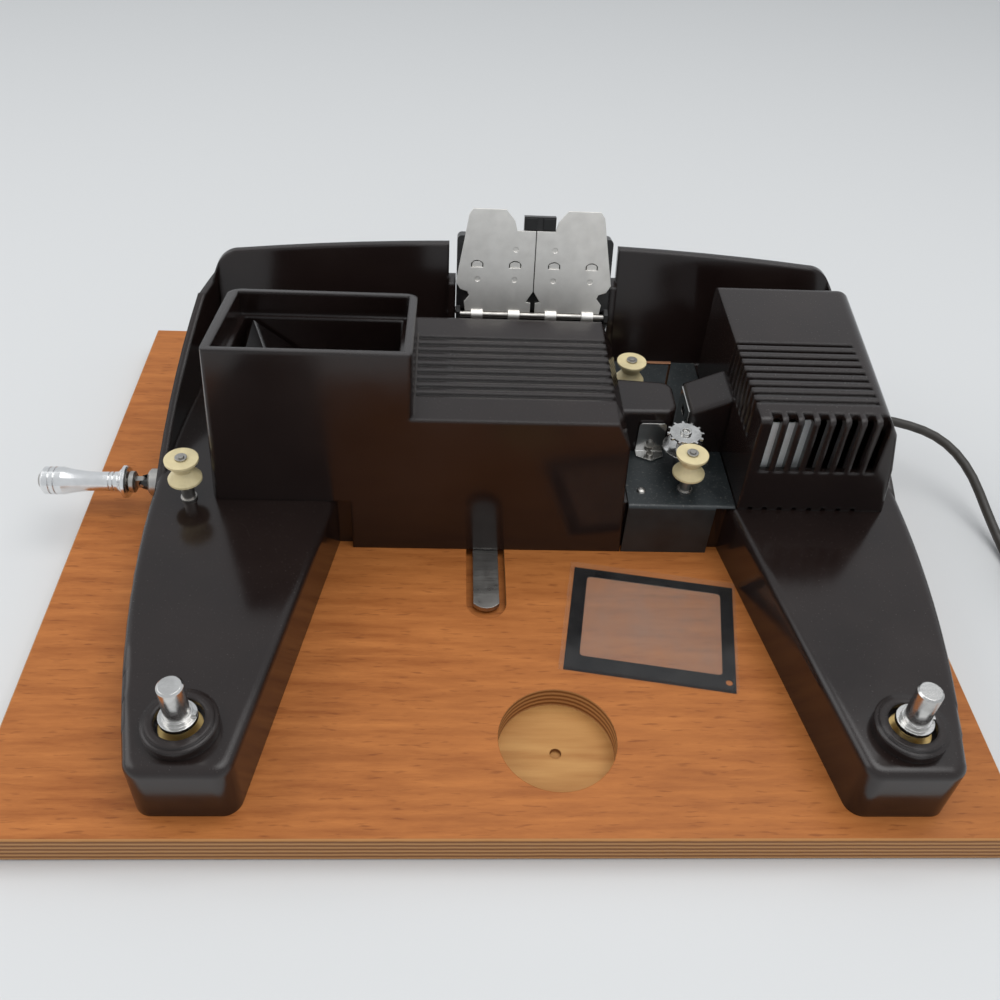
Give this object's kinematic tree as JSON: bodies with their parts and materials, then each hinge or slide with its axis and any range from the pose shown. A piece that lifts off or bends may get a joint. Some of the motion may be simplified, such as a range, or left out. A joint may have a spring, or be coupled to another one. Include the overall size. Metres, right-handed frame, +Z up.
{
  "type": "film editor viewer",
  "caption": "Film editor and viewer on a wooden board, with two reel spindles, a hooded viewing well, a ribbed lamp cover, a hand crank and a tape splicer.",
  "frame": {"origin": "middle of the board's underside", "axes": "+X to the right arm, +Y away from the reel spindles, +Z up"},
  "size_m": [0.4886, 0.273, 0.1036],
  "materials": {
    "plywood": "satin",
    "bakelite": "polished, lightly scratched",
    "deck_paint": "dark blue-black paint",
    "nylon": "satin ivory",
    "steel": "satin",
    "chrome": "bright",
    "nickel": "satin nickel",
    "aluminium": "polished",
    "brass": "dull",
    "copper": "copper colour",
    "black_paint": "gloss black",
    "black_rubber": "matt",
    "clear_glass": "clear",
    "frosted": "frosted",
    "print_black": "printed black",
    "mirror": "silvered",
    "cord_jacket": "black jacket"
  },
  "bodies": {
    "base": {"base_board": "plywood", "base_moulding": "bakelite", "viewer_housing": "bakelite", "mirror": "mirror", "mirror_bracket": "steel", "mirror_screw": "steel", "lamp_house": "bakelite", "heat_shield": "aluminium", "lens_hood": "bakelite", "condenser_hood": "bakelite", "deck_plate": "deck_paint", "deck_rivet": "steel", "aperture_plate": "chrome", "gate_bracket": "chrome", "gate_screws": "steel", "copper_spring": "copper", "lens_barrel": "black_paint", "projection_lens": "clear_glass", "condenser_lens": "clear_glass", "lamp_bulb": "clear_glass", "lamp_socket": "brass", "deck_pins": "steel", "left_pin": "steel", "roller_clips": "steel", "spindle_collars": "chrome", "spindle_bushes": "brass", "crank_bush": "steel", "drive_belt": "black_rubber", "latch_screw": "steel", "cord": "cord_jacket", "cord_relief": "black_rubber", "plug": "cord_jacket", "plug_pins": "brass"},
    "crank": {"crank_shaft": "black_paint", "fold_pin": "steel"},
    "crank_arm": {"crank_arm": "steel", "grip_screw": "steel"},
    "crank_grip": {"crank_grip": "aluminium"},
    "layshaft": {"layshaft": "brass"},
    "left_spindle": {"left_spindle": "chrome", "left_pulley": "brass"},
    "right_spindle": {"right_spindle": "chrome"},
    "near_roller": {"near_roller": "nylon"},
    "far_roller": {"far_roller": "nylon"},
    "left_roller": {"left_roller": "nylon"},
    "film_sprocket": {"film_sprocket": "chrome", "sprocket_gear": "brass"},
    "prism": {"prism_holder": "brass", "prism": "clear_glass"},
    "splicer": {"splicer_block": "black_paint", "hinge_rod": "steel", "pivot_pins": "steel", "plate_pads": "black_rubber"},
    "left_plate": {"left_plate": "nickel"},
    "right_plate": {"right_plate": "nickel"},
    "latch": {"latch_blade": "steel"},
    "screen": {"screen_glass": "clear_glass", "screen_mask": "print_black", "screen_window": "frosted"}
  },
  "joints": [
    {"name": "crank_spin", "type": "hinge", "parent": "base", "child": "crank", "pos_m": [-0.14, 0.008, 0.0262], "axis": [-1, 0, 0], "continuous": true},
    {"name": "crank_fold", "type": "hinge", "parent": "crank", "child": "crank_arm", "pos_m": [-0.14, 0.008, 0.0262], "axis": [0, 1, 0], "range_deg": [0, 18]},
    {"name": "grip_spin", "type": "hinge", "parent": "crank_arm", "child": "crank_grip", "pos_m": [-0.157, 0.008, 0.0262], "axis": [-1, 0, 0], "continuous": true},
    {"name": "layshaft_spin", "type": "hinge", "parent": "base", "child": "layshaft", "pos_m": [-0.1, 0.008, 0.022], "axis": [0, 0, 1], "continuous": true},
    {"name": "left_spindle_spin", "type": "hinge", "parent": "base", "child": "left_spindle", "pos_m": [-0.0992, -0.113, 0.032], "axis": [0, 0, 1], "continuous": true},
    {"name": "right_spindle_spin", "type": "hinge", "parent": "base", "child": "right_spindle", "pos_m": [0.1252, -0.113, 0.032], "axis": [0, 0, 1], "continuous": true},
    {"name": "near_roller_spin", "type": "hinge", "parent": "base", "child": "near_roller", "pos_m": [0.0722, -0.0025, 0.05], "axis": [0, 0, 1], "continuous": true},
    {"name": "far_roller_spin", "type": "hinge", "parent": "base", "child": "far_roller", "pos_m": [0.0565, 0.0576, 0.05], "axis": [0, 0, 1], "continuous": true},
    {"name": "left_roller_spin", "type": "hinge", "parent": "base", "child": "left_roller", "pos_m": [-0.1168, -0.0111, 0.05], "axis": [0, 0, 1], "continuous": true},
    {"name": "sprocket_spin", "type": "hinge", "parent": "base", "child": "film_sprocket", "pos_m": [0.0722, 0.0118, 0.042], "axis": [0, 0, 1], "continuous": true},
    {"name": "prism_spin", "type": "hinge", "parent": "base", "child": "prism", "pos_m": [0.061, 0.031, 0.042], "axis": [0, 0, 1], "continuous": true},
    {"name": "splicer_fold", "type": "hinge", "parent": "base", "child": "splicer", "pos_m": [0.0151, 0.0884, 0.0586], "axis": [-1, 0, 0], "range_deg": [0, 75.5]},
    {"name": "left_plate_open", "type": "hinge", "parent": "splicer", "child": "left_plate", "pos_m": [0.0151, 0.08298, 0.06], "axis": [1, 0, 0], "range_deg": [0, 60]},
    {"name": "right_plate_open", "type": "hinge", "parent": "splicer", "child": "right_plate", "pos_m": [0.0151, 0.08298, 0.06], "axis": [1, 0, 0], "range_deg": [0, 60]},
    {"name": "latch_slide", "type": "slide", "parent": "base", "child": "latch", "axis": [0, 1, 0], "range_m": [0, 0.006]},
    {"name": "screen_lift", "type": "slide", "parent": "base", "child": "screen", "axis": [0, 0, 1], "range_m": [0, 0.03]}
  ],
  "couplings": [
    {"joint": "layshaft_spin", "follows": "crank_spin", "ratio": 1},
    {"joint": "left_spindle_spin", "follows": "crank_spin", "ratio": 3.025},
    {"joint": "prism_spin", "follows": "sprocket_spin", "ratio": -3}
  ]
}
